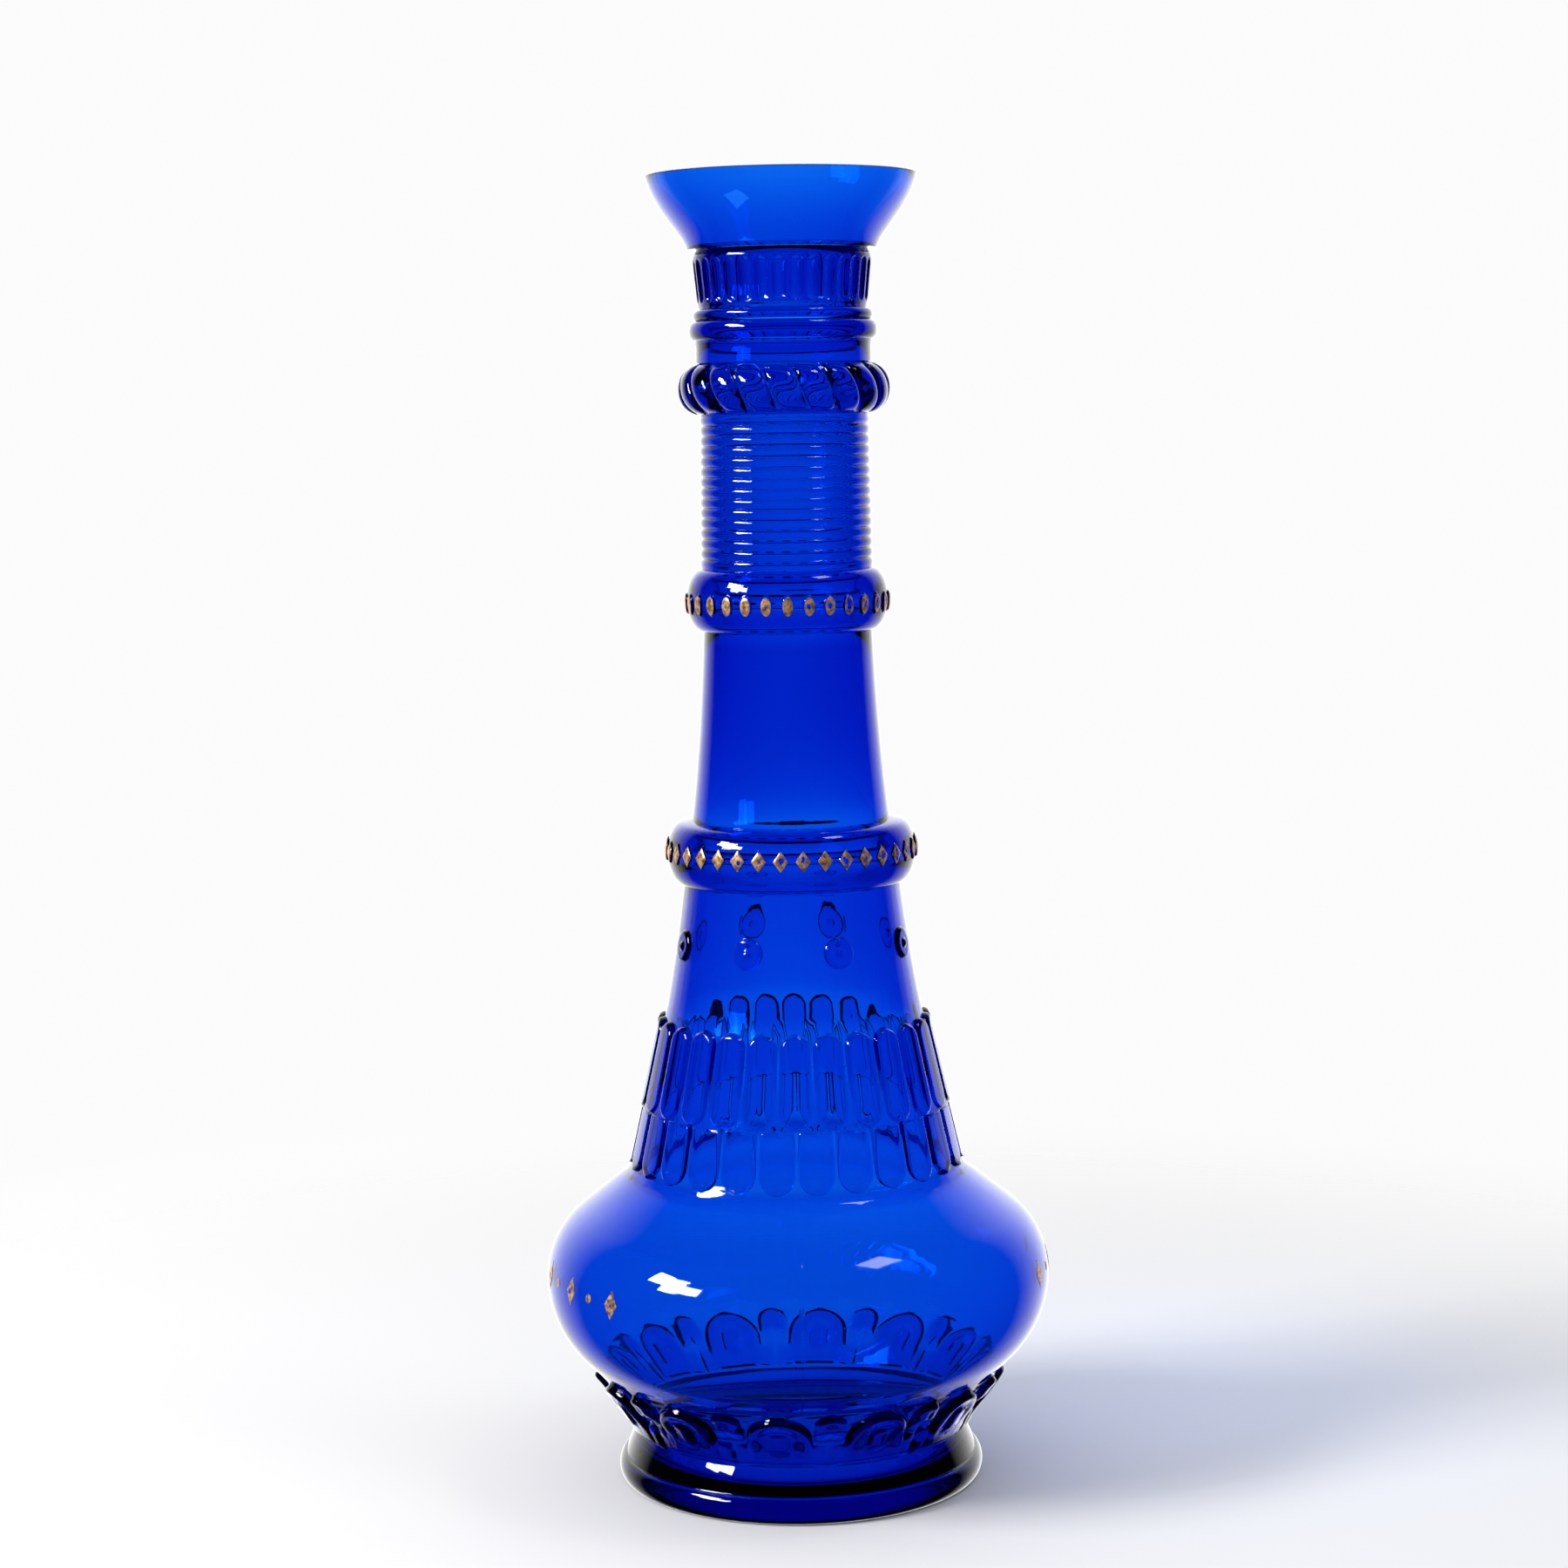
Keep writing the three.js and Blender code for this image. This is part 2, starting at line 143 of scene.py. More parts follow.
UNDER_ARC_R = 26.6
UNDER_ARC_START = -45
SHOULDER_ARC_R = 21.4
SHOULDER_ARC_END = 52
under_centre = (BELLY_R - UNDER_ARC_R, BELLY_Z)
shoulder_centre = (BELLY_R - SHOULDER_ARC_R, BELLY_Z)
under_arc = arc(under_centre, UNDER_ARC_R, UNDER_ARC_R, UNDER_ARC_START, 0, 60)
shoulder_arc = arc(shoulder_centre, SHOULDER_ARC_R, SHOULDER_ARC_R, 0, SHOULDER_ARC_END, 60)


def rib_outline():
    """Round ribs with sharp grooves between them, one above another up the neck."""
    ribs, rows_each, depth, crest_roundness = 15, 5, 0.55, 2.6
    share = np.linspace(0, 1, ribs * rows_each + 1)
    from_crest = np.abs(2 * ((share * ribs) % 1) - 1)
    crest = (1 - share) * (TOWER_TOP_R + 0.45) + share * (NECK_R + 0.2)
    height = (1 - share) * NECK_BASE_Z + share * ROPE_BASE_Z
    return np.column_stack((crest - depth * from_crest**crest_roundness, height))


def lozenge_belt():
    reach, half_width = 4.1, 7.8
    middle = CONE_TOP_Z + 7.7
    height = np.linspace(CONE_TOP_Z, TOWER_BASE_Z - 0.6, 60)
    bulge = np.sqrt(np.clip(1 - ((height - middle) / half_width) ** 2, 0, 1))
    belt = np.column_stack((CONE_TOP_R + reach * bulge, height))
    return np.vstack((belt, (TOWER_BASE_R, TOWER_BASE_Z)))


FOOT_EDGE = arc((REST_OUTER_R, FOOT_ROLL_HALF_HEIGHT), FOOT_ROLL_REACH, FOOT_ROLL_HALF_HEIGHT, -90, 62, 14)
STEM = bend([(STEP_R, STEP_Z), (WAIST_R + 1.9, STEP_Z + 3.2), (WAIST_R, WAIST_Z)], 40)
UNDER_BULB = bend([(WAIST_R, WAIST_Z), (WAIST_R + 4.715, WAIST_Z + 10.9), under_arc[0]], 60)
SKIRT = np.array([(HEM_R, HEM_Z), (HEM_R - 2.1, HEM_Z + 3.4), (SKIRT_TOP_R, SKIRT_TOP_Z)])
CONE = bend([(SKIRT_TOP_R, SKIRT_TOP_Z), (CONE_TOP_R + 1.9, CONE_MIDDLE_Z), (CONE_TOP_R, CONE_TOP_Z)], 40)
TOWER_BEND = (TOWER_TOP_R + 1.12, TOWER_BEND_Z)
TOWER = bend([(TOWER_BASE_R, TOWER_BASE_Z), TOWER_BEND, (TOWER_TOP_R, TOWER_TOP_Z)], 40)
CUP_BASE = (COLLAR_R + 1.3, CUP_BASE_Z)
CUP_BENDS = (COLLAR_R + 2.1, CUP_BASE_Z + 4), (RIM_R - 2.2, CUP_BASE_Z + 9.4)
CUP = bend([CUP_BASE, *CUP_BENDS, (RIM_R, RIM_Z)], 16)

WALL_OUTLINE = np.vstack((
    STEM,
    UNDER_BULB,
    under_arc,
    shoulder_arc,
    SKIRT,
    CONE,
    lozenge_belt(),
    TOWER,
    moulding(TOWER_TOP_R, 4.1, TOWER_TOP_Z, NECK_BASE_Z),
    rib_outline(),
    moulding(NECK_R, 3.8, ROPE_BASE_Z, ROPE_TOP_Z),
    [(NECK_R + 1, ROPE_TOP_Z), (NECK_R + 1, BEAD_BASE_Z - 1.2)],
    moulding(NECK_R + 1.3, 1.3, BEAD_BASE_Z, BEAD_SEAM_Z),
    moulding(NECK_R + 0.4, 1.1, BEAD_SEAM_Z, COLLAR_BASE_Z),
    [(NECK_R, COLLAR_BASE_Z + 0.2), (NECK_R + 0.3, COLLAR_BASE_Z + 1.3), (COLLAR_R, CUP_BASE_Z - 2.2)],
    [(COLLAR_R, CUP_BASE_Z - 1.7), (COLLAR_R - 1, CUP_BASE_Z - 0.02)],
    CUP,
))


def wall_radius(height):
    return np.interp(height, WALL_OUTLINE[:, 1], WALL_OUTLINE[:, 0])


def straight(start, end, steps):
    share = np.linspace(0, 1, steps + 1)[:, None]
    return np.array(start) * (1 - share) + np.array(end) * share


def swell(low, high, reach, steps=16):
    """The inside behind a ring, from its top down: it swells smoothly out by `reach` and back."""
    rows = straight(high, low, steps)
    rows[:, 0] += reach * (0.5 - 0.5 * np.cos(np.linspace(0, 2 * math.pi, steps + 1)))
    return rows


def inset(rows, first_depth, last_depth):
    """A parallel of an outline, to its left, at a depth that changes evenly along it."""
    along = np.gradient(rows, axis=0)
    along /= np.hypot(along[:, 0], along[:, 1])[:, None]
    depth = np.linspace(first_depth, last_depth, len(rows))[:, None]
    return rows + depth * np.column_stack((-along[:, 1], along[:, 0]))


def inner_outline():
    """The smooth inside of the glass, from the rim down to near the middle of the floor. It swells behind
    the three large rings."""
    neck = NECK_R - NECK_WALL
    plain_neck = neck + 0.7
    throat = NECK_R - COLLAR_WALL
    cup = inset(CUP, CUP_WALL, RIM_WALL)[::-1]
    cup[0, 1] = RIM_Z
    collar = bend([
        cup[-1],
        (throat + 0.6, CUP_BASE_Z - 1),
        (throat, CUP_BASE_Z - 5.6),
        (throat, COLLAR_BASE_Z + 3.2),
        (plain_neck, COLLAR_BASE_Z),
    ], 10)
    behind_rope = swell((neck + 0.2, ROPE_BASE_Z), (plain_neck, ROPE_TOP_Z), 4.3)

    oval_root = TOWER_TOP_R - RING_WALL
    behind_ovals = swell((oval_root, TOWER_TOP_Z - 0.5), (oval_root, NECK_BASE_Z), 3.8)
    tower_top = (TOWER_TOP_R - TOWER_WALL, TOWER_TOP_Z - 4)
    tower_base = (TOWER_BASE_R - TOWER_WALL, TOWER_BASE_Z + 6)
    behind_tower = bend([tower_top, (tower_top[0] + 1.1, TOWER_BEND_Z), tower_base], 8)

    cone_top = (CONE_TOP_R - CONE_WALL, CONE_TOP_Z - 1)
    cone_base = (SKIRT_TOP_R - CONE_WALL, SKIRT_TOP_Z + 1)
    behind_belt = swell(cone_top, (TOWER_BASE_R - 2.4, TOWER_BASE_Z + 1), 5.0)
    behind_cone = bend([cone_top, (CONE_TOP_R - 1.2, CONE_MIDDLE_Z - 0.05), cone_base], 8)

    hem = (HEM_R - 3.5, HEM_Z + 1.8)
    behind_skirt = straight((SKIRT_TOP_R - 1.3, SKIRT_TOP_Z - 3), hem, 16)
    fillet = bend([hem, (HEM_R - 4.0, HEM_Z - 0.3), (HEM_R + 1, HEM_Z - 3.2)], 6)
    over_r, under_r = SHOULDER_ARC_R - BULB_WALL, UNDER_ARC_R - BULB_WALL
    shoulder = arc(shoulder_centre, over_r, over_r, SHOULDER_ARC_END, 0, 12)
    lower = arc(under_centre, under_r, under_r, -5, UNDER_ARC_START - 3, 9)

    waist = (WAIST_R - STEM_WALL, WAIST_Z)
    calyx = bend([lower[-1], (WAIST_R + 1.415, WAIST_Z + 10.3), waist], 8)
    floor = bend([
        waist,
        (waist[0] + 1, STEP_Z + 2.8),
        (waist[0] + 4.6, FLOOR_TOP),
        (waist[0] - 8, FLOOR_TOP),
    ], 9)
    return np.vstack((cup, collar[1:], behind_rope, behind_ovals, behind_tower, behind_belt,
                      behind_cone[1:], behind_skirt, fillet[1:], shoulder, lower, calyx[1:], floor[1:],
                      [(FLOOR_LAST_R, FLOOR_TOP)]))


# ---- Shapes of the raised ornaments: x across, up along the wall, in millimetres ---------------------

def stadium(x, up, half_width, half_height):
    over = np.maximum(np.abs(up) - (half_height - half_width), 0)
    return np.hypot(x, over) - half_width


def ellipse(x, up, half_width, half_height):
    return (np.hypot(x / half_width, up / half_height) - 1) * half_width


def lozenge(x, up, half_width, half_height):
    side = half_width * half_height / math.hypot(half_width, half_height)
    return (np.abs(x) / half_width + np.abs(up) / half_height - 1) * side


def half_width_at(shape, up, size, grow):
    """How far across a shape reaches at one height, with its outline grown by a distance."""
    low, high = 0.0, size[0] + abs(grow) + 1
    if shape(0.0, up, *size) > grow:
        return 0.0
    for _ in range(24):
        middle = (low + high) / 2
        if shape(middle, up, *size) > grow:
            high = middle
        else:
            low = middle
    return low


def rounded(distance, edge):
    """0 outside a shape, rising steeply at its outline and rounding off to 1 at `edge` inside it."""
    share = np.clip(-distance / edge, 0, 1)
    return np.sqrt(1 - (1 - share) ** 2)


def smooth(start, end, value):
    share = np.clip((value - start) / (end - start), 0, 1)
    return share * share * (3 - 2 * share)


# ---- Rings of points --------------------------------------------------------------------------------

class Ring:
    """One closed row of points round the axis. Rings of one band have the same columns."""

    def __init__(self, band, degrees, radius, height):
        self.band = band
        self.degrees = degrees
        self.radius = np.broadcast_to(radius, degrees.shape)
        self.height = np.broadcast_to(height, degrees.shape)


def turn_between(start, end):
    """How far to turn from one direction to another, in degrees from -180 to 180."""
    return (end - start + 180) % 360 - 180


def even_degrees(columns, seams=False):
    """Directions at even steps. Beside the mould's seams they are close together."""
    degrees = np.arange(columns) * 360 / columns
    if seams:
        beside = np.array([-0.7, -0.42, -0.24, -0.1, 0, 0.1, 0.24, 0.42, 0.7])
        for seam in SEAM_DEGREES:
            clear = np.abs(turn_between(seam, degrees)) > 0.9
            degrees = np.concatenate((degrees[clear], (seam + beside) % 360))
    return np.sort(degrees)


def seam_relief(degrees):
    height = 0.0
    for seam in SEAM_DEGREES:
        away = turn_between(seam, degrees) / SEAM_HALF_WIDTH
        height = height + SEAM_HEIGHT * np.exp(-(away**2))
    return height


def plain_band(name, rows, columns, seams=False):
    degrees = even_degrees(columns, seams)
    relief = seam_relief(degrees) if seams else 0.0
    return [Ring(name, degrees, radius + relief, height) for radius, height in rows]


def kept_apart(side, half_pitch):
    """The same distances in order, with room left between them and at both ends."""
    room = 0.02 * half_pitch
    for index in range(len(side)):
        side[index] = max(side[index], room * (index + 1))
    for index in range(len(side) - 1, -1, -1):
        side[index] = min(side[index], half_pitch - room * (len(side) - index))
    return side


def ornament_band(name, heights, count, first, stations, relief, lean=0.0):
    """A band with `count` ornaments. stations(height, half_pitch) gives the distances from an ornament's
    middle where it needs a column, and relief(x, height, half_pitch) how far the wall stands out."""
    rings = []
    middles = first + np.arange(count) * 360 / count
    for height in heights:
        radius = float(wall_radius(height))
        half_pitch = math.pi * radius / count
        side = kept_apart(np.sort(np.clip(stations(height, half_pitch), 0, half_pitch)), half_pitch)
        x = np.concatenate(([-half_pitch], -side[::-1], [0.0], side))
        degrees = (middles[:, None] + np.degrees(x / radius)[None, :] + lean * height).ravel()
        out = np.tile(relief(x, height, half_pitch), count)
        rings.append(Ring(name, degrees, radius + out, height))
    return rings


def spaced(*heights, gap=0.05):
    """Heights in order, without any that nearly touch."""
    kept = []
    for height in sorted(heights):
        if not kept or height - kept[-1] > gap:
            kept.append(height)
    return kept


# ---- The ornaments ----------------------------------------------------------------------------------

PETALS = {"count": 26, "share_of_pitch": 0.93, "edge": 0.85}
UPPER = {"bottom": TIER_Z - 0.3, "top": SKIRT_TOP_Z - 2.2, "height": 1.6}
LOWER = {"bottom": HEM_Z + 1.9, "top": SKIRT_TOP_Z + 2, "height": 1.0}


def petal_size(tier, radius):
    """Half the width and half the height of a petal. Its share of the pitch leaves a groove beside it."""
    half_width = PETALS["share_of_pitch"] * math.pi * radius / PETALS["count"]
    return half_width, (tier["top"] - tier["bottom"]) / 2


def petal_shape(tier, x, height):
    """0 beside a petal, and 1 on its flat middle."""
    size = petal_size(tier, float(wall_radius(height)))
    distance = stadium(x, height - (tier["top"] + tier["bottom"]) / 2, *size)
    return rounded(distance, PETALS["edge"])


def upper_relief(x, height, half_pitch):
    """The upper petals, with the tops of the lower ones fading out between them."""
    behind = LOWER["height"] * (1 - smooth(TIER_Z + 4, UPPER["top"] - 6, height))
    lower = behind * petal_shape(LOWER, half_pitch - np.abs(x), height)
    return np.maximum(UPPER["height"] * petal_shape(UPPER, x, height), lower)


def lower_relief(x, height, half_pitch):
    return LOWER["height"] * petal_shape(LOWER, x, height)


def petal_stations(tier):
    edge = PETALS["edge"]

    def stations(height, half_pitch):
        size = petal_size(tier, float(wall_radius(height)))
        up = height - (tier["top"] + tier["bottom"]) / 2
        grows = (0.12, 0, -0.35 * edge, -edge, -1.4 * edge)
        return [half_width_at(stadium, up, size, grow) for grow in grows]

    return stations


def end_rows(end, inward, reach, edge, steps):
    """Rows close together at a rounded end, from just outside it to `reach` inside it."""
    edges = [end - inward * 0.12, end, end + inward * 0.12 * edge, end + inward * 0.4 * edge]
    return [*edges, *np.linspace(end + inward * edge, end + inward * reach, steps)]


def lower_petals():
    hem = (HEM_Z + 0.35, HEM_Z + 0.9)
    ends = end_rows(LOWER["bottom"], 1, 4.2, PETALS["edge"], 6)
    heights = spaced(*hem, *ends, TIER_Z - 8, TIER_Z - 4, TIER_Z - 1.2, TIER_Z - 0.6)
    first = 180 / PETALS["count"]
    stations = petal_stations(LOWER)
    return ornament_band("lower_petals", heights, PETALS["count"], first, stations, lower_relief)


def upper_petals():
    low_ends = end_rows(UPPER["bottom"], 1, 4, PETALS["edge"], 6)
    high_ends = end_rows(UPPER["top"], -1, 3.6, PETALS["edge"], 6)
    heights = spaced(*low_ends, TIER_Z + 7, TIER_Z + 11, TIER_Z + 15, *high_ends, SKIRT_TOP_Z - 0.6)
    groove = 1 - PETALS["share_of_pitch"]
    outline = petal_stations(UPPER)

    def stations(height, half_pitch):
        return [*outline(height, half_pitch), groove * half_pitch]

    return ornament_band("upper_petals", heights, PETALS["count"], 0, stations, upper_relief)


ROUNDEL = {"count": 8, "first": 22.5, "middle": CONE_TOP_Z - 14.6, "radius": 3.9, "height": 0.9,
           "edge": 0.8, "dish": 0.15, "dot_radius": 1.1, "dot_height": 0.6}


def roundel_relief(x, height, half_pitch):
    up = height - ROUNDEL["middle"]
    distance = np.hypot(x, up)
    disc = ROUNDEL["height"] * rounded(distance - ROUNDEL["radius"], ROUNDEL["edge"])
    dish = ROUNDEL["dish"] * smooth(ROUNDEL["radius"] - ROUNDEL["edge"], ROUNDEL["dot_radius"], distance)
    dot = ROUNDEL["dot_height"] * rounded(distance - ROUNDEL["dot_radius"], ROUNDEL["dot_radius"])
    return disc - dish + dot


def roundel_cone():
    radius, edge, dot = ROUNDEL["radius"], ROUNDEL["edge"], ROUNDEL["dot_radius"]
    rim = [radius + 0.12, radius, radius - 0.15 * edge, radius - 0.4 * edge, radius - edge]
    outlines = [*rim, 2, dot, 0.7 * dot]

    def stations(height, half_pitch):
        up = height - ROUNDEL["middle"]
        circles = [math.sqrt(max(outline**2 - up**2, 0)) for outline in outlines]
        return [*circles, 0.5, 5.4, 7, 9]

    ups = [0, 0.6, 1.1, 1.7, 2.3, 2.8, 3.2, 3.5, 3.75, 3.9, 4.02]
    near = [ROUNDEL["middle"] + side * up for up in ups for side in (-1, 1)]
    below = [SKIRT_TOP_Z + rise for rise in (0.5, 4, 8, 11)]
    above = [CONE_TOP_Z - drop for drop in (8.5, 5.5, 1.5, 0.25)]
    heights = spaced(*below, *near, *above)
    return ornament_band("cone", heights, ROUNDEL["count"], ROUNDEL["first"], stations, roundel_relief)


LOZENGES = {"count": 36, "first": 5, "middle": CONE_TOP_Z + 8.7, "size": (2.0, 2.8), "edge": 0.42,
            "height": 0.5, "film": (1.85, 2.6)}
OVALS = {"count": 30, "first": 0, "middle": TOWER_TOP_Z + 7.1, "size": (1.6, 2.75), "edge": 0.55,
         "height": 0.5, "film": (1.25, 2.3)}


def boss_relief(shape, boss):
    def relief(x, height, half_pitch):
        return boss["height"] * rounded(shape(x, height - boss["middle"], *boss["size"]), boss["edge"])
    return relief


def boss_stations(shape, boss):
    edge = boss["edge"]

    def stations(height, half_pitch):
        up = height - boss["middle"]
        grows = (0.1, 0, -0.3 * edge, -edge)
        found = [half_width_at(shape, up, boss["size"], grow) for grow in grows]
        return [*found, (found[0] + half_pitch) / 2]

    return stations


def boss_heights(boss, below, above):
    """Rows at the levels where a boss's outline turns, with the ring's rows below and above it."""
    half = boss["size"][1]
    edge = boss["edge"] * 1.6
    steps = [0, 0.5 * half, half - edge, half - 0.3 * edge, half, half + 0.14]
    near = [boss["middle"] + side * step for step in steps for side in (-1, 1)]
    return spaced(*below, *near, *above)


def boss_ring(name, shape, boss, below, above):
    heights = boss_heights(boss, below, above)
    stations = boss_stations(shape, boss)
    return ornament_band(name, heights, boss["count"], boss["first"], stations, boss_relief(shape, boss))


def lozenge_ring():
    below = [CONE_TOP_Z + rise for rise in (0.02, 0.15, 0.4, 0.9, 1.8, 3, 4.4)]
    above = [TOWER_BASE_Z - drop for drop in (3.6, 2.6, 1.8, 1.1, 0.6, 0.25, 0)]
    return boss_ring("lozenges", lozenge, LOZENGES, below, above)


def oval_ring():
    below = [TOWER_TOP_Z + rise for rise in (0.02, 0.15, 0.45, 1, 1.8, 2.9)]
    above = [NECK_BASE_Z - drop for drop in (4.4, 3.4, 2.4, 1.5, 0.8, 0.35, 0.12, 0.02)]
    return boss_ring("ovals", ellipse, OVALS, below, above)


ROPE = {"count": 20, "first": 0.4, "half_length": 6.3, "height": 1.8, "lean": -1.0, "share_of_pitch": 0.97,
        "end_power": 2.6, "side_power": 4}
ROPE_MIDDLE = (ROPE_BASE_Z + ROPE_TOP_Z) / 2


def rope_ring():
    """Wide cushions that lean like the strands of a rope, with thin deep creases between them."""
    def end_share(height):
        return max(0.0, 1 - abs((height - ROPE_MIDDLE) / ROPE["half_length"]) ** ROPE["end_power"])

    def relief(x, height, half_pitch):
        across = np.abs(x / (ROPE["share_of_pitch"] * half_pitch)) ** ROPE["side_power"]
        return ROPE["height"] * np.sqrt(np.clip(end_share(height) - across, 0, 1))

    def stations(height, half_pitch):
        reach = ROPE["share_of_pitch"] * half_pitch * end_share(height) ** (1 / ROPE["side_power"])
        return [share * reach for share in (1, 0.985, 0.95, 0.87, 0.72, 0.4)]

    half = (ROPE_TOP_Z - ROPE_BASE_Z) / 2
    rises = np.radians(np.linspace(-87, 87, 25))
    heights = [ROPE_MIDDLE + half * math.sin(rise) for rise in rises]
    first = ROPE["first"] - ROPE["lean"] * ROPE_MIDDLE
    return ornament_band("rope", heights, ROPE["count"], first, stations, relief, ROPE["lean"])


FLUTES = {"count": 32, "first": -2.2, "bottom": COLLAR_BASE_Z + 1.5, "top": CUP_BASE_Z - 2.3, "depth": 0.85,
          "share_of_pitch": 0.84}


def fluted_collar():
    middle = (FLUTES["bottom"] + FLUTES["top"]) / 2
    half_height = (FLUTES["top"] - FLUTES["bottom"]) / 2

    def flute_size(height):
        half_pitch = math.pi * float(wall_radius(height)) / FLUTES["count"]
        return FLUTES["share_of_pitch"] * half_pitch, half_height

    def relief(x, height, half_pitch):
        size = flute_size(height)
        share = np.clip(-stadium(x, height - middle, *size) / size[0], 0, 1)
        return -FLUTES["depth"] * (1 - (1 - share) ** 2)

    def stations(height, half_pitch):
        size = flute_size(height)
        grows = (0.06, 0, -0.2 * size[0], -0.55 * size[0])
        return [half_width_at(stadium, height - middle, size, grow) for grow in grows]

    ends = [0.1, 0, -0.2, -0.6, -1.2, -2]
    low = [FLUTES["bottom"] - step for step in ends]
    high = [FLUTES["top"] + step for step in ends]
    middle_rows = (FLUTES["bottom"] + 4.2, FLUTES["bottom"] + 6.7)
    base = (COLLAR_BASE_Z + 0.2, COLLAR_BASE_Z + 0.8)
    lip = (FLUTES["top"] + 0.5, FLUTES["top"] + 1.2, FLUTES["top"] + 1.8, CUP_BASE_Z - 0.03)
    heights = spaced(*base, *low, *middle_rows, *high, *lip)
    return ornament_band("flutes", heights, FLUTES["count"], FLUTES["first"], stations, relief)


LEAVES = {"count": 12, "first": -6.6, "bottom": WAIST_Z + 0.8, "edge": 2.4, "body_height": 1.3}
BIG_LEAF = {"top": LEAF_TIPS_Z - 2.1, "half_width": 8.1, "lip": 2.4, "dish": 0.9}
SMALL_LEAF = {"top": LEAF_TIPS_Z - 1.6, "half_width": 4.2, "lip": 2.1, "dish": 0.4}
LEAF_VEIN = {"top": LEAF_TIPS_Z - 6.4, "bottom": WAIST_Z + 4, "half_width": 2.6, "height": 0.8}
LEAF_CREASE = {"half_width": 0.7, "depth_share": 0.9}
LEAF_HEM = {"height": 0.9, "top": WAIST_Z + 7, "scallop": 0.6}
WALL_SLANT = 1.35


def above_tip_middle(height, leaf):
    """How far a height is above the middle of a leaf's round tip, measured along the slanting wall."""
    return (height - leaf["top"]) * WALL_SLANT + leaf["half_width"]


def leaf_distance(x, height, leaf):
    """Distance from the outline of a leaf with a round tip and a long body below it."""
    return np.hypot(x, np.maximum(above_tip_middle(height, leaf), 0)) - leaf["half_width"]


def leaf_height(distance, leaf):
    """A cushion with a thick round lip along the outline and a shallow dish inside it."""
    edge = LEAVES["edge"]
    rise = np.sin(math.pi / 2 * np.clip(-distance / edge, 0, 1))
    return leaf["lip"] * rise - leaf["dish"] * smooth(-edge, -2.4 * edge, distance)


def vein_relief(x, height):
    half_height = (LEAF_VEIN["top"] - LEAF_VEIN["bottom"]) / 2 * WALL_SLANT
    up = (height - (LEAF_VEIN["top"] + LEAF_VEIN["bottom"]) / 2) * WALL_SLANT
    return LEAF_VEIN["height"] * rounded(stadium(x, up, LEAF_VEIN["half_width"], half_height), 1.0)


def calyx_relief(x, height, half_pitch):
    """Large leaves with a vein, small ones between them, and a scalloped hem below."""
    away = half_pitch - np.abs(x)
    under_tip = smooth(LEAF_TIPS_Z - 6.5, LEAF_TIPS_Z - 9.5, height)
    crease = 1 - LEAF_CREASE["depth_share"] * np.exp(-((away / LEAF_CREASE["half_width"]) ** 2)) * under_tip
    big = leaf_distance(x, height, BIG_LEAF)
    small = leaf_distance(away, height, SMALL_LEAF)
    lips = np.maximum(leaf_height(big, BIG_LEAF), leaf_height(small, SMALL_LEAF) * (1 - 0.8 * under_tip))
    body = LEAVES["body_height"] * rounded(big, LEAVES["edge"])
    tip_share = smooth(LEAVES["bottom"] + 2, LEAVES["bottom"] + 9, height)
    leaves = (body + (lips - body) * tip_share) * crease + vein_relief(x, height)
    hem = LEAF_HEM["height"] * crease * smooth(LEAF_HEM["top"], LEAF_HEM["top"] - 1, height)
    hem_line = LEAVES["bottom"] - LEAF_HEM["scallop"] * smooth(0.6, 1, np.abs(x) / half_pitch)
    return np.maximum(leaves, hem) * rounded(hem_line - height, 0.7)


def leaf_calyx():
    def outline_reach(height, leaf, grow):
        up = max(above_tip_middle(height, leaf), 0)
        return math.sqrt(max((leaf["half_width"] + grow) ** 2 - up**2, 0))

    def stations(height, half_pitch):
        big = [outline_reach(height, BIG_LEAF, grow) for grow in (0.15, 0, -0.4, -1.2, -2.4, -3.8)]
        small = [half_pitch - outline_reach(height, SMALL_LEAF, grow) for grow in (0.1, -0.4, -1.4)]
        beside_crease = [half_pitch - 0.5, half_pitch - 1.1]
        vein = [LEAF_VEIN["half_width"], LEAF_VEIN["half_width"] - 0.6]
        return [*big, *small, *beside_crease, *vein]

    hem = [LEAVES["bottom"] + rise for rise in (-0.6, -0.45, -0.3, -0.15, 0, 0.3, 0.7, 1.5, 2.5, 3.6, 4.7)]
    tips = np.linspace(LEAF_TIPS_Z - 11, LEAF_TIPS_Z - 1.3, 18)
    heights = spaced(WAIST_Z + 0.02, *hem, *tips, LEAF_TIPS_Z - 0.9, LEAF_TIPS_Z)
    return ornament_band("leaves", heights, LEAVES["count"], LEAVES["first"], stations, calyx_relief)


# ---- The glass mesh ---------------------------------------------------------------------------------

def wall_rows(*heights):
    return [(float(wall_radius(height)), height) for height in heights]


def foot():
    hollow = bend([(0, FLOOR_RISE), (0.97 * REST_INNER_R, FLOOR_RISE), (REST_INNER_R, 0)], 12)[1:]
    rest = [(REST_INNER_R + 0.15, 0), (REST_OUTER_R - 2, 0), (REST_OUTER_R, 0)]
    ledge = [(STEP_R + 0.1, STEP_Z - 0.02)]
    stem = wall_rows(*(STEP_Z + rise for rise in (0.05, 0.4, 1, 1.8, 2.8, 4, 5.2, 6.2)), WAIST_Z - 0.05)
    return plain_band("foot", [*hollow, *rest, *FOOT_EDGE[1:], *ledge, *stem], 112, seams=True)


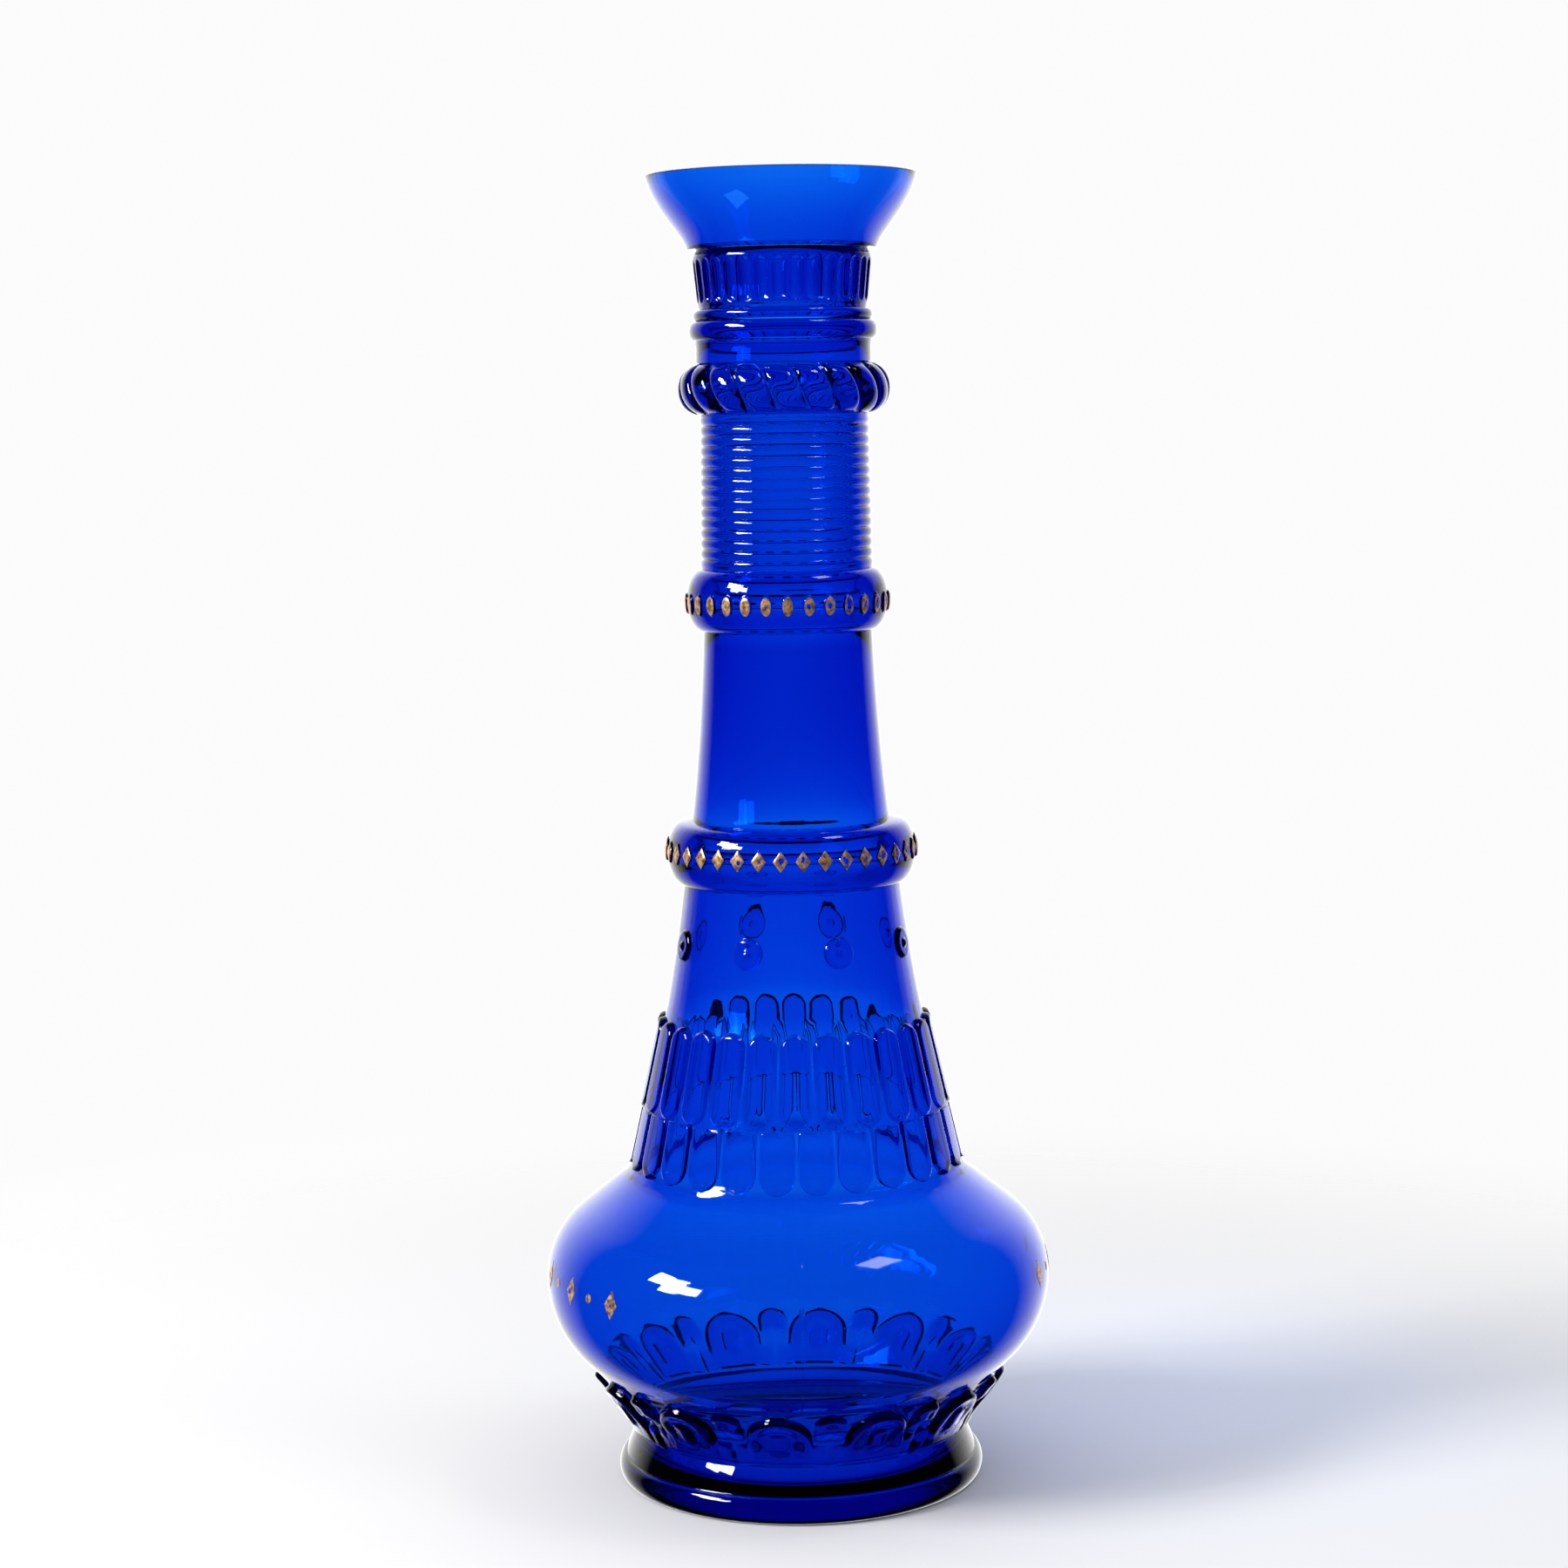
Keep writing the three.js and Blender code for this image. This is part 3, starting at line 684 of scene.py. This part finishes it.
def bulb():
    over_leaves = [LEAF_TIPS_Z + rise for rise in (0.4, 1.4, 2.6)]
    under_reach = 18.8
    under = [BELLY_Z - under_reach * math.cos(math.radians(turn)) for turn in range(12, 90, 8)]
    over = [BELLY_Z + SHOULDER_ARC_R * math.sin(math.radians(turn)) for turn in range(0, 53, 5)]
    shoulder = [HEM_Z - drop for drop in (8, 5.6, 3.2, 1, 0.25)]
    heights = spaced(*over_leaves, *under, *over, *shoulder, gap=0.2)
    return plain_band("bulb", wall_rows(*heights), 144, seams=True)


def tower():
    return plain_band("tower", wall_rows(*np.linspace(TOWER_BASE_Z + 0.15, TOWER_TOP_Z - 0.1, 14)), 128)


def ribbed_neck():
    ribs = rib_outline()[1:-1]
    return plain_band("ribs", [tuple(row) for row in ribs], 72)


def beads():
    bead = moulding(NECK_R + 1.3, 1.3, BEAD_BASE_Z, BEAD_SEAM_Z, 14)
    small = moulding(NECK_R + 0.4, 1.1, BEAD_SEAM_Z, COLLAR_BASE_Z, 10)
    plain_r = NECK_R + 1
    neck = [(plain_r, ROPE_TOP_Z + 0.1), (plain_r, BEAD_BASE_Z - 1.2), (plain_r + 0.15, BEAD_BASE_Z - 0.3)]
    return plain_band("beads", [*neck, *bead, *small[1:]], 96)


def cup():
    ground = [(RIM_R - 0.3, RIM_Z), (RIM_R - RIM_WALL + 0.2, RIM_Z)]
    lip = [(RIM_R - 0.05, RIM_Z - 0.2)]
    return plain_band("cup", [*CUP[:-1], *lip, *ground], 120)


INNER_FOLLOWS = 0.2
INNER_WAVE = 0.1


def inner_relief(degrees, height):
    """The inside follows the petals softly, as blown glass does, and is nowhere quite true."""
    turn = np.radians(degrees)
    wave = np.sin(2 * turn + 0.06 * height) + 0.6 * np.sin(3 * turn - 0.11 * height)
    inside_share = smooth(RIM_Z - 1, CUP_BASE_Z, height) * smooth(STEP_Z, WAIST_Z, height)
    turns = degrees * PETALS["count"] / 360
    from_upper = 2 * np.abs(turns - np.round(turns))
    upper = UPPER["height"] * smooth(1.0, 0.5, from_upper) * smooth(TIER_Z - 1, TIER_Z + 3, height)
    lower = LOWER["height"] * smooth(0, 0.5, from_upper) * smooth(TIER_Z + 3, TIER_Z - 1, height)
    within = smooth(HEM_Z, HEM_Z + 4, height) * smooth(SKIRT_TOP_Z, SKIRT_TOP_Z - 6, height)
    return INNER_WAVE * inside_share * wave + INNER_FOLLOWS * within * (upper + lower)


def inside():
    """Rings from the rim down. There are more columns behind the petals."""
    rings = []
    for radius, height in inner_outline():
        in_skirt = HEM_Z < height < SKIRT_TOP_Z
        band, columns = ("inside_skirt", 8 * PETALS["count"]) if in_skirt else ("inside", 72)
        degrees = even_degrees(columns)
        rings.append(Ring(band, degrees, radius + inner_relief(degrees, height), height))
    return rings


def quads(low, high, count):
    """Faces between two rings of `count` points that start at the points `low` and `high`."""
    here = np.arange(count)
    after = (here + 1) % count
    return np.column_stack((low + here, low + after, high + after, high + here)).tolist()


def stitches(low, low_degrees, high, high_degrees):
    """Triangles between two rings that have different columns."""
    low_count, high_count = len(low_degrees), len(high_degrees)
    gaps = turn_between(low_degrees[0], high_degrees)
    start = int(np.argmin(np.abs(gaps)))
    low_turn = [*((low_degrees - low_degrees[0]) % 360), 360.0]
    order = (start + np.arange(high_count)) % high_count
    high_turn = [*((high_degrees[order] - high_degrees[start]) % 360 + gaps[start]), 360.0 + gaps[start]]
    faces = []
    i = j = 0
    while i < low_count or j < high_count:
        here_low = low + i % low_count
        here_high = high + int(order[j % high_count])
        step_low = j == high_count or (i < low_count and low_turn[i + 1] <= high_turn[j + 1])
        if step_low:
            faces.append((here_low, low + (i + 1) % low_count, here_high))
            i += 1
        else:
            faces.append((here_low, high + int(order[(j + 1) % high_count]), here_high))
            j += 1
    return faces


def vessel_mesh(name, rings, first_height, last_height):
    """One closed mesh through all the rings, with a point on the axis at each end."""
    points, faces, starts = [(0, 0, first_height)], [], []
    for ring in rings:
        turn = np.radians(ring.degrees)
        starts.append(len(points))
        across, deep = ring.radius * np.sin(turn), -ring.radius * np.cos(turn)
        points.extend(np.column_stack((across, deep, ring.height)).tolist())
    for index in range(len(rings) - 1):
        low, high = rings[index], rings[index + 1]
        if low.band == high.band:
            faces.extend(quads(starts[index], starts[index + 1], len(low.degrees)))
        else:
            faces.extend(stitches(starts[index], low.degrees, starts[index + 1], high.degrees))
    last = len(points)
    points.append((0, 0, last_height))
    first_count, last_count = len(rings[0].degrees), len(rings[-1].degrees)
    faces.extend((0, starts[0] + (k + 1) % first_count, starts[0] + k) for k in range(first_count))
    faces.extend((last, starts[-1] + k, starts[-1] + (k + 1) % last_count) for k in range(last_count))
    return new_mesh(name, points, faces)


SHARP_DEGREES = 48


def new_mesh(name, points, faces):
    mesh = bpy.data.meshes.new(name)
    mesh.from_pydata([tuple(MM * value for value in point) for point in points], [], faces)
    mesh.validate()
    mesh.shade_smooth()
    mesh.set_sharp_from_angle(angle=math.radians(SHARP_DEGREES))
    piece = bpy.data.objects.new(name, mesh)
    bpy.context.scene.collection.objects.link(piece)
    return piece


# ---- Materials --------------------------------------------------------------------------------------

def new_material(name):
    material = bpy.data.materials.new(name)
    material.use_nodes = True
    nodes = material.node_tree.nodes
    return material, nodes, material.node_tree.links, nodes["Principled BSDF"]


def cobalt_glass():
    material, nodes, links, glass = new_material("cobalt_glass")
    glass.inputs["Base Color"].default_value = (0.5, 0.75, 1.0, 1)
    glass.inputs["Roughness"].default_value = 0.015
    glass.inputs["IOR"].default_value = 1.52
    glass.inputs["Transmission Weight"].default_value = 1.0
    absorption = nodes.new("ShaderNodeVolumeAbsorption")
    absorption.inputs["Color"].default_value = (0.0, 0.638, 0.924, 1)
    absorption.inputs["Density"].default_value = 1360
    links.new(absorption.outputs["Volume"], nodes["Material Output"].inputs["Volume"])
    coordinates = nodes.new("ShaderNodeTexCoord")
    waves = nodes.new("ShaderNodeTexNoise")
    waves.inputs["Scale"].default_value = 55
    waves.inputs["Detail"].default_value = 1.5
    bump = nodes.new("ShaderNodeBump")
    bump.inputs["Strength"].default_value = 0.12
    bump.inputs["Distance"].default_value = 0.0006
    links.new(coordinates.outputs["Object"], waves.inputs["Vector"])
    links.new(waves.outputs["Fac"], bump.inputs["Height"])
    links.new(bump.outputs["Normal"], glass.inputs["Normal"])
    return material


def worn_and_shaded_gold():
    """Fired gold, darker where it is thin, and gone where the piece's per-point value is greater than the
    grain. That value is real rubbing at the crowns of the bosses plus painted shade: more gold is taken off
    on the right of the rings, away from the key light, so the dark glass shows there.
    """
    material, nodes, links, gold = new_material("worn_and_shaded_gold")
    coordinates = nodes.new("ShaderNodeTexCoord")
    grain = nodes.new("ShaderNodeTexNoise")
    grain.inputs["Scale"].default_value = 900
    grain.inputs["Detail"].default_value = 4
    patches = nodes.new("ShaderNodeTexNoise")
    patches.inputs["Scale"].default_value = 420
    patches.inputs["Detail"].default_value = 3
    tone = nodes.new("ShaderNodeValToRGB")
    tone.color_ramp.elements[0].position = 0.35
    tone.color_ramp.elements[0].color = (0.24, 0.11, 0.045, 1)
    tone.color_ramp.elements[1].position = 0.62
    tone.color_ramp.elements[1].color = (0.86, 0.54, 0.25, 1)
    # This attribute holds real rubbing at the crowns plus painted shade that takes more gold off on the
    # right.
    wear_and_shade = nodes.new("ShaderNodeAttribute")
    wear_and_shade.attribute_name = "wear_and_shade"
    left = nodes.new("ShaderNodeMath")
    left.operation = "SUBTRACT"
    cover = nodes.new("ShaderNodeMapRange")
    cover.inputs["From Min"].default_value = -0.04
    cover.inputs["From Max"].default_value = 0.04
    roughness = nodes.new("ShaderNodeMapRange")
    roughness.inputs["To Min"].default_value = 0.22
    roughness.inputs["To Max"].default_value = 0.5
    for texture in (grain, patches):
        links.new(coordinates.outputs["Object"], texture.inputs["Vector"])
    links.new(grain.outputs["Fac"], tone.inputs["Fac"])
    links.new(tone.outputs["Color"], gold.inputs["Base Color"])
    links.new(grain.outputs["Fac"], roughness.inputs["Value"])
    links.new(roughness.outputs["Result"], gold.inputs["Roughness"])
    links.new(patches.outputs["Fac"], left.inputs[0])
    links.new(wear_and_shade.outputs["Fac"], left.inputs[1])
    links.new(left.outputs["Value"], cover.inputs["Value"])
    links.new(cover.outputs["Result"], gold.inputs["Alpha"])
    gold.inputs["Metallic"].default_value = 0.7
    return material


# ---- Gilding: thin films laid on the raised ornaments -------------------------------------------------

FILM = 0.05
FILM_GAP = 0.02


def film_patch(points, faces, wear_and_shade, outline, centre_degrees, centre_height, surface, worn):
    """Adds one closed film. outline(turn) gives its edge, and surface(x, height) the glass under it."""
    rings, segments = 5, 24
    start = len(points)
    layers = (FILM_GAP, FILM_GAP + FILM)
    for gap in layers:
        for ring in range(rings + 1):
            share = ring / rings
            for segment in range(segments if ring else 1):
                x, up = outline(2 * math.pi * segment / segments)
                x, height = x * share, centre_height + up * share
                radius = float(wall_radius(height))
                turn = math.radians(centre_degrees) + x / radius
                out = radius + float(surface(x, height)) + gap
                points.append((out * math.sin(turn), -out * math.cos(turn), height))
                wear_and_shade.append(worn(share))
    per_layer = 1 + rings * segments
    for layer in range(2):
        base = start + layer * per_layer
        for segment in range(segments):
            after = (segment + 1) % segments
            fan = (base, base + 1 + segment, base + 1 + after)
            faces.append(fan if layer else fan[::-1])
            for ring in range(rings - 1):
                inner, outer = base + 1 + ring * segments, base + 1 + (ring + 1) * segments
                quad = (inner + segment, outer + segment, outer + after, inner + after)
                faces.append(quad if layer else quad[::-1])
    low = start + 1 + (rings - 1) * segments
    high = low + per_layer
    for segment in range(segments):
        after = (segment + 1) % segments
        faces.append((low + segment, low + after, high + after, high + segment))


def gilt_piece(name, material, add_patches):
    points, faces, wear_and_shade = [], [], []
    add_patches(points, faces, wear_and_shade)
    piece = new_mesh(name, points, faces)
    # This attribute carries real rubbing at the crowns plus painted shade on the right-hand bosses.
    attribute = piece.data.attributes.new("wear_and_shade", "FLOAT", "POINT")
    attribute.data.foreach_set("value", np.array(wear_and_shade, np.float32))
    piece.data.materials.append(material)
    return piece


def oval_edge(half_width, half_height):
    return lambda turn: (half_width * math.cos(turn), half_height * math.sin(turn))


def lozenge_edge(half_width, half_height):
    def edge(turn):
        across, up = math.cos(turn), math.sin(turn)
        scale = 1 / (abs(across) + abs(up))
        return half_width * across * scale, half_height * up * scale
    return edge


def crown_rub_and_side_shade(rng, side):
    """The crown of a boss is rubbed first, as real gilding is. side, from 0 to 1, takes more gold off so
    the boss shows darker glass: that part is painted shade, on the side away from the key light.
    """
    # The side term is painted shade: it rubs more gold off the bosses on the right, away from the key
    # light.
    amount = 0.1 + 0.42 * side + rng.uniform(-0.12, 0.12)
    edge = rng.uniform(0.16, 0.26)
    return lambda share: edge + amount * (1 - share) ** 0.8


def shaded_side_of(degrees):
    """0 at the left of the front, towards the key light, and 1 at the right, away from it. It sets how much
    painted shade the gilding gets.
    """
    return 0.5 + 0.5 * math.sin(math.radians(degrees))


def ring_gilding(boss, shape, edge, seed):
    """A film on each boss of a ring."""
    relief = boss_relief(shape, boss)

    def surface(x, height):
        return relief(np.float64(x), height, 0)

    def add(points, faces, wear_and_shade):
        rng = random.Random(seed)
        for index in range(boss["count"]):
            degrees = boss["first"] + index * 360 / boss["count"]
            # Bosses on the right lose more gold: painted shade away from the key light, added to real
            # rubbing at the crowns.
            worn = crown_rub_and_side_shade(rng, shaded_side_of(degrees))
            film_patch(points, faces, wear_and_shade, edge(*boss["film"]), degrees, boss["middle"], surface, worn)

    return add


FRIEZE = {"middles": (-62, 87), "pitch": 8, "height": BELLY_Z + 3, "dot": (1.1, 1.1), "lozenge": (2.2, 3.5)}


def frieze_gilding(points, faces, wear_and_shade):
    """Two plain worn bands of lozenges and dots, on the sides of the bulb."""
    rng = random.Random(5)
    for middle in FRIEZE["middles"]:
        for index in range(-2, 3):
            edge = oval_edge(*FRIEZE["dot"]) if index % 2 else lozenge_edge(*FRIEZE["lozenge"])
            degrees = middle + index * FRIEZE["pitch"]
            worn = crown_rub_and_side_shade(rng, 0.5)
            film_patch(points, faces, wear_and_shade, edge, degrees, FRIEZE["height"], lambda x, height: 0.0, worn)


# ---- Studio -----------------------------------------------------------------------------------------

def place(azimuth, elevation, distance, target):
    """A point seen from the target at an azimuth from the front, towards +X, and an elevation."""
    turn, rise = math.radians(azimuth), math.radians(elevation)
    away = Vector((math.cos(rise) * math.sin(turn), -math.cos(rise) * math.cos(turn), math.sin(rise)))
    return target + distance * away


def softbox(name, azimuth, elevation, distance, size, radiance, colour=(1, 1, 1)):
    target = Vector((0, 0, 0.15))
    lamp = bpy.data.lights.new(name, "AREA")
    lamp.shape = "RECTANGLE"
    lamp.size, lamp.size_y = size
    lamp.energy = radiance * math.pi * size[0] * size[1]
    lamp.color = colour
    light = bpy.data.objects.new(name, lamp)
    light.location = place(azimuth, elevation, distance, target)
    light.rotation_euler = (target - light.location).to_track_quat("-Z", "Y").to_euler()
    light.visible_camera = False
    bpy.context.scene.collection.objects.link(light)
    return light


def window_light(azimuth, elevation, distance, radiance):
    """The key light comes through uneven openings, so its reflections in the glass are broken up."""
    panes = [(-11, 3, 0.24, 0.3), (-1, -1, 0.26, 0.44), (8, -3, 0.32, 0.24)]
    for index, (aside, above, width, height) in enumerate(panes):
        softbox(f"pane_{index}", azimuth + aside, elevation + above, distance, (width, height), radiance)


def blue_glow():
    """The blue light that the glass throws on the paper, in the bottle's own shadow."""
    blue = (0.08, 0.3, 1)
    side = (0.12, 0.12)
    glow = softbox("glow", azimuth=120, elevation=-18, distance=0.14, size=side, radiance=0.9, colour=blue)
    glow.rotation_euler = (0, 0, 0)
    glow.visible_glossy = False
    glow.visible_transmission = False


def white_room():
    """Bright paper behind and round the bottle, and a dim room on the photographer's side. The camera, the
    glass's reflections, the light through the glass and the matt surfaces each see their own brightness."""
    world = bpy.data.worlds.new("studio")
    bpy.context.scene.world = world
    world.use_nodes = True
    nodes, links = world.node_tree.nodes, world.node_tree.links
    background = nodes["Background"]
    background.inputs["Color"].default_value = (1, 1, 1, 1)
    path = nodes.new("ShaderNodeLightPath")
    direction = nodes.new("ShaderNodeTexCoord")
    parts = nodes.new("ShaderNodeSeparateXYZ")
    links.new(direction.outputs["Generated"], parts.inputs["Vector"])

    def from_front_to_back(start, end, front, back):
        room = nodes.new("ShaderNodeMapRange")
        for socket, value in (("From Min", start), ("From Max", end), ("To Min", front), ("To Max", back)):
            room.inputs[socket].default_value = value
        links.new(parts.outputs["Y"], room.inputs["Value"])
        return room.outputs["Result"]

    strength = nodes.new("ShaderNodeMix")
    strength.inputs["A"].default_value = 0.97
    links.new(path.outputs["Is Glossy Ray"], strength.inputs["Factor"])
    mirrored = from_front_to_back(start=0.45, end=0.92, front=0.01, back=1.7)
    links.new(mirrored, strength.inputs["B"])
    through = nodes.new("ShaderNodeMix")
    links.new(path.outputs["Is Transmission Ray"], through.inputs["Factor"])
    links.new(strength.outputs["Result"], through.inputs["A"])
    seen_through = from_front_to_back(start=-0.4, end=0.55, front=0.28, back=1.43)
    links.new(seen_through, through.inputs["B"])
    ambient = nodes.new("ShaderNodeMix")
    ambient.inputs["B"].default_value = 0.7
    links.new(path.outputs["Is Diffuse Ray"], ambient.inputs["Factor"])
    links.new(through.outputs["Result"], ambient.inputs["A"])
    links.new(ambient.outputs["Result"], background.inputs["Strength"])


PAPER_Z = -0.03


def paper_disc(radius, rings, columns):
    """A flat disc just under the foot."""
    points, faces = [(0, 0, PAPER_Z)], []
    for ring in range(1, rings + 1):
        reach = radius * ring / rings / MM
        for column in range(columns):
            turn = 2 * math.pi * column / columns
            points.append((reach * math.cos(turn), reach * math.sin(turn), PAPER_Z))
    faces.extend((0, 1 + k, 1 + (k + 1) % columns) for k in range(columns))
    for ring in range(rings - 1):
        low = 1 + ring * columns
        faces.extend(face[::-1] for face in quads(low, low + columns, columns))
    return new_mesh("paper_floor", points, faces)


def white_paper(fade_start, fade_end):
    """Matt white, fading out with distance, and fainter where it is seen through the glass."""
    material, nodes, links, paper = new_material("paper")
    paper.inputs["Base Color"].default_value = (0.735, 0.735, 0.74, 1)
    paper.inputs["Roughness"].default_value = 0.9
    paper.inputs["Specular IOR Level"].default_value = 0.1
    coordinates = nodes.new("ShaderNodeTexCoord")
    length = nodes.new("ShaderNodeVectorMath")
    length.operation = "LENGTH"
    fade = nodes.new("ShaderNodeMapRange")
    fade.interpolation_type = "SMOOTHSTEP"
    fade.inputs["From Min"].default_value = fade_start
    fade.inputs["From Max"].default_value = fade_end
    fade.inputs["To Min"].default_value = 1
    fade.inputs["To Max"].default_value = 0
    path = nodes.new("ShaderNodeLightPath")
    through = nodes.new("ShaderNodeMapRange")
    through.inputs["To Min"].default_value = 1
    through.inputs["To Max"].default_value = 0.4
    cover = nodes.new("ShaderNodeMath")
    cover.operation = "MULTIPLY"
    links.new(coordinates.outputs["Object"], length.inputs[0])
    links.new(length.outputs["Value"], fade.inputs["Value"])
    links.new(fade.outputs["Result"], cover.inputs[0])
    links.new(path.outputs["Is Transmission Ray"], through.inputs["Value"])
    links.new(through.outputs["Result"], cover.inputs[1])
    links.new(cover.outputs["Value"], paper.inputs["Alpha"])
    return material


def paper_floor():
    """Paper that fades into the backdrop, so that no horizon shows."""
    floor = paper_disc(radius=1.2, rings=12, columns=64)
    floor.data.materials.append(white_paper(fade_start=0.16, fade_end=0.5))
    floor.visible_glossy = False


def camera():
    """The photograph's view: from above the bottle's middle, 6 degrees down, tilted under a degree."""
    lens = bpy.data.cameras.new("camera")
    lens.lens = 77.8
    lens.sensor_width = 36
    lens.dof.use_dof = False
    eye = bpy.data.objects.new("camera", lens)
    pitch, roll = 6.17, 0.933
    turn = Matrix.Rotation(math.radians(90 - pitch), 4, "X") @ Matrix.Rotation(math.radians(-roll), 4, "Z")
    eye.matrix_world = Matrix.Translation((-0.0016, -0.851, 0.270)) @ turn
    bpy.context.scene.collection.objects.link(eye)
    bpy.context.scene.camera = eye


# ---- The scene --------------------------------------------------------------------------------------

glass_material = cobalt_glass()
rings = [
    *foot(),
    *leaf_calyx(),
    *bulb(),
    *lower_petals(),
    *upper_petals(),
    *roundel_cone(),
    *lozenge_ring(),
    *tower(),
    *oval_ring(),
    *ribbed_neck(),
    *rope_ring(),
    *beads(),
    *fluted_collar(),
    *cup(),
    *inside(),
]
bottle = vessel_mesh("bottle_glass", rings, FLOOR_RISE, FLOOR_TOP)
bottle.data.materials.append(glass_material)
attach(bottle, "root")
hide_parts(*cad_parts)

gold_material = worn_and_shaded_gold()
gilding = [
    gilt_piece("gilt_ovals", gold_material, ring_gilding(OVALS, ellipse, oval_edge, seed=1)),
    gilt_piece("gilt_lozenges", gold_material, ring_gilding(LOZENGES, lozenge, lozenge_edge, seed=2)),
    gilt_piece("gilt_frieze", gold_material, frieze_gilding),
]
for piece in gilding:
    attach(piece, "root")

white_room()
paper_floor()
window_light(azimuth=-64, elevation=30, distance=1.5, radiance=30)
softbox("top_right", azimuth=70, elevation=62, distance=1.4, size=(0.35, 0.25), radiance=6)
blue_glow()
camera()
scene = bpy.context.scene
scene.view_settings.view_transform = "Standard"
scene.cycles.max_bounces = 20
scene.cycles.transmission_bounces = 20
scene.cycles.glossy_bounces = 8
scene.cycles.use_denoising = True
